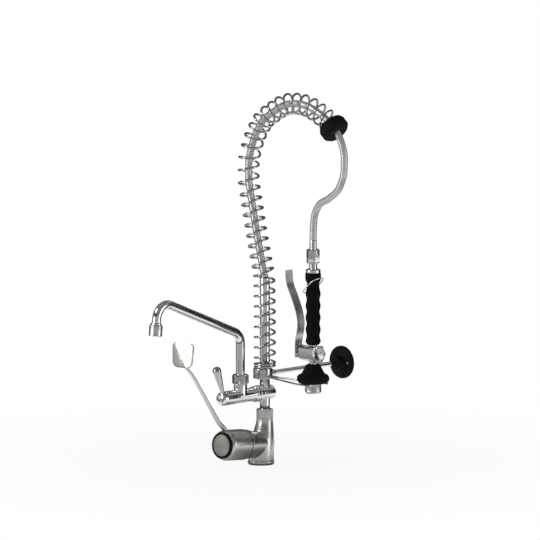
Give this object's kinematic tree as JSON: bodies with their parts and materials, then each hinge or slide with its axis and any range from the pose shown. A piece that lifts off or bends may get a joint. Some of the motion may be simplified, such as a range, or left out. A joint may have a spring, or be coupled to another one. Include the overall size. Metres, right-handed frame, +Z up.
{
  "type": "pre rinse faucet",
  "caption": "Deck mixer with elbow lever, riser, cross tap with swivel spout, wall stay, and a trigger spray gun on a spring-balanced hose that hangs in a wire hook.",
  "frame": {"origin": "centre of the deck hole, on the deck's top face, under the mixer's gasket", "axes": "+Z up along the riser, -Y towards the user, +Y towards the wall, +X the side where the spray gun hangs"},
  "size_m": [0.3088, 0.5922, 0.8754],
  "materials": {
    "chrome": "polished chrome plate",
    "satin": "satin grey-green plate",
    "brushed": "brushed, lightly tumbled",
    "steel": "plain turned steel",
    "brass": "turned",
    "black_rubber": "matt moulded",
    "black_plastic": "fine grained",
    "grey_plastic": "satin",
    "white_plastic": "plain moulded",
    "hose_grey": "smooth, silver grey"
  },
  "bodies": {
    "root": {"deck_gasket": "black_rubber", "base_ring": "chrome", "mixer_body": "satin", "mounting_shank": "brass", "clamp_washer": "steel", "clamp_nut": "brass", "hot_inlet_tail": "brass", "cold_inlet_tail": "brass", "mixer_cartridge": "white_plastic", "cartridge_nut": "brass", "riser_nut": "satin", "lower_riser": "chrome", "upper_riser": "chrome", "tap_tee": "chrome", "union_nut": "chrome", "tap_body": "chrome", "headwork": "brass", "spout_nut": "chrome", "spout_seal": "black_rubber", "bracket_clamp": "chrome", "clamp_screw": "steel", "wall_rod": "chrome", "rosette": "black_plastic", "rosette_screw_left": "steel", "rosette_screw_right": "steel", "hook_wire_front": "chrome", "hook_wire_rear": "chrome", "balance_spring": "chrome", "spring_cap": "black_plastic", "spray_hose": "hose_grey"},
    "handle": {"cartridge_stem": "steel", "mixer_handle": "satin", "handle_screw": "steel", "handle_ring": "black_plastic", "handle_button": "grey_plastic", "elbow_lever": "satin"},
    "tap_handle": {"tap_stem": "brass", "tap_hub": "chrome", "hub_screw": "chrome", "tap_lever": "chrome"},
    "spout": {"spout_pipe": "chrome", "aerator_housing": "chrome", "aerator_insert": "white_plastic"},
    "hose_end": {"hose_ferrule": "chrome", "hose_nut": "chrome"},
    "gun": {"gun_tube": "steel", "grip_collar": "chrome", "grip": "black_rubber", "valve_body": "brushed", "valve_bonnet": "chrome", "valve_spring": "steel", "valve_seat": "black_rubber", "trigger_pin": "steel", "bumper": "black_rubber", "spray_nozzle": "brushed", "spray_face": "white_plastic"},
    "trigger": {"trigger": "brushed"},
    "stem": {"valve_stem": "steel"},
    "lock_ring": {"lock_ring": "chrome"}
  },
  "joints": [
    {"name": "handle_turn", "type": "hinge", "parent": "root", "child": "handle", "pos_m": [0, 0.0115, 0.0423], "axis": [0, -0.9973, 0.0732], "range_deg": [-50, 50]},
    {"name": "tap_turn", "type": "hinge", "parent": "root", "child": "tap_handle", "pos_m": [0, -0.0837, 0.1503], "axis": [0, -1, 0], "range_deg": [0, 90]},
    {"name": "spout_swivel", "type": "hinge", "parent": "root", "child": "spout", "pos_m": [0, -0.0622, 0.1769], "axis": [0, 0, 1], "range_deg": [-90, 90]},
    {"name": "gun_lift", "type": "slide", "parent": "root", "child": "hose_end", "axis": [0, 0, 1], "range_m": [0, 0.04], "deforming": ["spray_hose"]},
    {"name": "gun_swivel", "type": "hinge", "parent": "hose_end", "child": "gun", "pos_m": [0.141, 0.0115, 0.44], "axis": [0, 0, 1], "continuous": true},
    {"name": "trigger_squeeze", "type": "hinge", "parent": "gun", "child": "trigger", "pos_m": [0.1032, 0.0115, 0.241], "axis": [0, 1, 0], "range_deg": [0, 12], "stiffness_Nm_per_rad": 0.8, "springref_deg": -17.19},
    {"name": "stem_push", "type": "slide", "parent": "gun", "child": "stem", "axis": [1, 0, 0], "range_m": [0, 0.0024]},
    {"name": "lock_ring_flip", "type": "hinge", "parent": "gun", "child": "lock_ring", "pos_m": [0.1596, 0.0115, 0.409], "axis": [0, 1, 0], "range_deg": [0, 25]}
  ],
  "couplings": [
    {"joint": "stem_push", "follows": "trigger_squeeze", "m_per_rad": 0.011}
  ]
}
